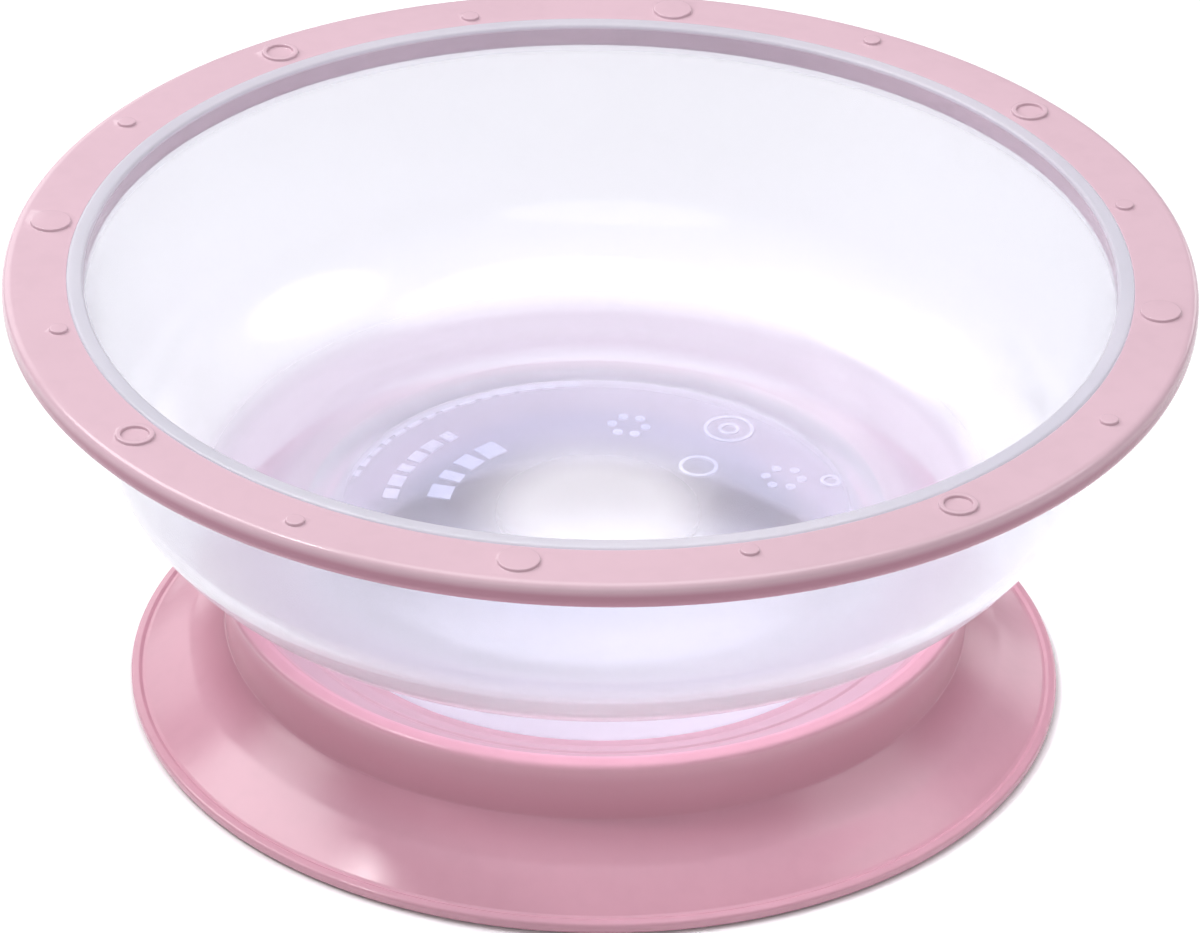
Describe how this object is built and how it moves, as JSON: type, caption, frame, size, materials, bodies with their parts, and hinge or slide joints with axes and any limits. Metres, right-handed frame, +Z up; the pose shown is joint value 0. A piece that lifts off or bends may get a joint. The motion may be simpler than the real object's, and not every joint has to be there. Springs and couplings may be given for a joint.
{
  "type": "suction bowl",
  "caption": "Round clear feeding bowl with a soft flanged rim, standing in a soft suction ring that grips a table.",
  "frame": {"origin": "on the table, under the centre of the bowl", "axes": "+Z up along the bowl's axis; a disc-shaped mark on the rim lies towards -Y"},
  "size_m": [0.14, 0.14, 0.0564],
  "materials": {
    "clear_plastic": "clear, slightly milky, polished",
    "soft_pink": "soft satin thermoplastic elastomer"
  },
  "bodies": {
    "seal": {"suction_lip": "soft_pink", "suction_skirt": "soft_pink"},
    "collar": {"suction_collar": "soft_pink"},
    "bowl": {"bowl_shell": "clear_plastic", "rim_grip": "soft_pink"}
  },
  "joints": [
    {"name": "cup_press", "type": "slide", "parent": "seal", "child": "collar", "axis": [0, 0, -1], "range_m": [0, 0.003], "stiffness_N_per_m": 1500, "springref_m": -0.002, "deforming": ["suction_skirt"]},
    {"name": "bowl_release", "type": "slide", "parent": "collar", "child": "bowl", "axis": [0, 0, 1], "range_m": [0, 0.03]}
  ]
}
